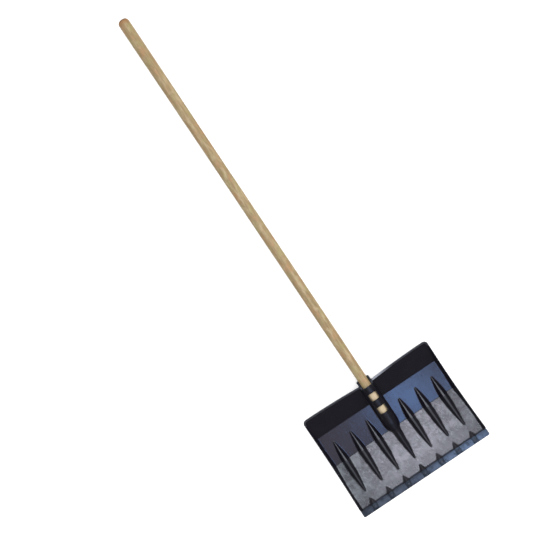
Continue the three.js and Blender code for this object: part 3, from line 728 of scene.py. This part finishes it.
CAMERA_HEIGHT = 2.4
CAMERA_X = -0.0462
CAMERA_Y = -0.0359
SENSOR_WIDTH = 36  # millimetres
VIEW_ACROSS = 1.46575  # metres of ground across the picture
CAMERA_TURN = math.radians(-33.8)
LIGHT_HEIGHT = 2.0
LIGHT_POWER = 4  # an area light's power for each unit of radiance and square metre

FLOOR_REACH = 9
FLOOR_LEVEL = -0.3 * MM
FLOOR_GLOW = 0.6  # hides the last of the shadow

HORIZON_LIGHT = 0.35
OVERHEAD_LIGHT = 1.25
REFLECTED_LIGHT = 0.12


def make_camera():
    """Straight above the shovel, turned so that the handle runs to the upper left."""
    data = bpy.data.cameras.new("camera")
    data.sensor_width = SENSOR_WIDTH
    data.lens = data.sensor_width * CAMERA_HEIGHT / VIEW_ACROSS
    camera = bpy.data.objects.new("camera", data)
    camera.location = (CAMERA_X, CAMERA_Y, CAMERA_HEIGHT)
    camera.rotation_euler = (0, 0, CAMERA_TURN)
    bpy.context.scene.collection.objects.link(camera)
    bpy.context.scene.camera = camera


def make_floor():
    """A plain white floor just under the shovel. It is clear from below, so the back can be looked at."""
    mesh = bpy.data.meshes.new("floor")
    corners = [
        (x * FLOOR_REACH, y * FLOOR_REACH, FLOOR_LEVEL) for x, y in ((-1, -1), (1, -1), (1, 1), (-1, 1))
    ]
    mesh.from_pydata(corners, [], [(0, 1, 2, 3)])
    floor = add_piece("floor", mesh)
    looks = Looks("floor")
    tone = looks.noise(looks.point, 3, detail=2)
    white = looks.mix(tone, (0.9, 0.9, 0.9), (0.93, 0.93, 0.93))
    looks.set(Base_Color=white, Roughness=0.9, Emission_Color=white, Emission_Strength=FLOOR_GLOW)
    clear = looks.add("ShaderNodeBsdfTransparent")
    one_sided = looks.add("ShaderNodeMixShader")
    looks.feed(one_sided.inputs[0], looks.add("ShaderNodeNewGeometry").outputs["Backfacing"])
    looks.feed(one_sided.inputs[1], looks.shader.outputs[0])
    looks.feed(one_sided.inputs[2], clear.outputs[0])
    looks.feed(looks.tree.nodes["Material Output"].inputs["Surface"], one_sided.outputs[0])
    mesh.materials.append(looks.material)
    floor.visible_diffuse = False  # its glow lights nothing


def panel(name, centre, size, radiance, aim, seen_by):
    """A soft box of the given radiance that faces a point and lights either what is dull or what shines."""
    data = bpy.data.lights.new(name, "AREA")
    data.shape = "RECTANGLE"
    data.size, data.size_y = size
    strongest = max(radiance)
    data.color = [value / strongest for value in radiance]
    data.energy = LIGHT_POWER * strongest * size[0] * size[1]
    light = bpy.data.objects.new(name, data)
    light.location = centre
    light.rotation_euler = (Vector(aim) - Vector(centre)).to_track_quat("-Z", "Y").to_euler()
    light.visible_camera = False
    light.visible_diffuse = seen_by != "gloss"
    light.visible_glossy = seen_by != "dull"
    bpy.context.scene.collection.objects.link(light)


def make_lights():
    """Soft boxes that the front facet, the middle facet and the ribs' ridges mirror, and a soft key."""
    scoop = (0, (FRONT_CREASE_Y + REAR_CREASE_Y) / 2, 0)
    panel("front_facet_box", (0.08, 0.56, LIGHT_HEIGHT), (0.58, 0.62), (7.6, 7.7, 9.0), scoop, "gloss")
    panel("blue_box", (0.2, -1.0, LIGHT_HEIGHT), (0.32, 0.46), (1.0, 2.1, 4.5), scoop, "gloss")
    panel("bright_blue_box", (0.115, -1.0, LIGHT_HEIGHT), (0.09, 0.46), (0.7, 1.7, 4.4), scoop, "gloss")
    panel("dim_box", (-0.05, -1.0, LIGHT_HEIGHT), (1.3, 0.46), (0.8, 0.74, 0.95), scoop, "gloss")
    panel("ridge_box", (0.18, -0.05, LIGHT_HEIGHT), (1.2, 0.5), (2.7, 2.95, 3.2), scoop, "gloss")
    panel("key", (2.0, 0.1, 1.6), (1.2, 2.2), (2.0, 1.95, 1.85), (0, 0, 0), "dull")


def make_world():
    """Bright overhead and dimmer at the horizon for what is dull, dark in reflections, white when seen."""
    world = bpy.data.worlds.new("world")
    world.use_nodes = True
    nodes, links = world.node_tree.nodes, world.node_tree.links
    background = nodes["Background"]
    background.inputs["Color"].default_value = (1, 1, 1, 1)
    place = nodes.new("ShaderNodeTexCoord")
    parts = nodes.new("ShaderNodeSeparateXYZ")
    links.new(place.outputs["Generated"], parts.inputs[0])
    path = nodes.new("ShaderNodeLightPath")

    def between(share, low, high):
        """Goes from one value to another as a share goes from nothing to one."""
        node = nodes.new("ShaderNodeMapRange")
        links.new(share, node.inputs["Value"])
        for key, value in (("To Min", low), ("To Max", high)):
            if isinstance(value, bpy.types.NodeSocket):
                links.new(value, node.inputs[key])
            else:
                node.inputs[key].default_value = value
        return node.outputs[0]

    dome = between(parts.outputs["Z"], HORIZON_LIGHT, OVERHEAD_LIGHT)
    strength = between(path.outputs["Is Glossy Ray"], dome, REFLECTED_LIGHT)
    strength = between(path.outputs["Is Camera Ray"], strength, 1.0)
    links.new(strength, background.inputs["Strength"])
    bpy.context.scene.world = world


# ---- Making -------------------------------------------------------------------------------------

bpy.context.scene.view_settings.view_transform = "Standard"
make_camera()
make_world()
make_lights()
make_floor()
make_scoop()
make_handle()
make_strip()
plated = fastener_steel()
make_rivets(plated)
make_screw(plated)
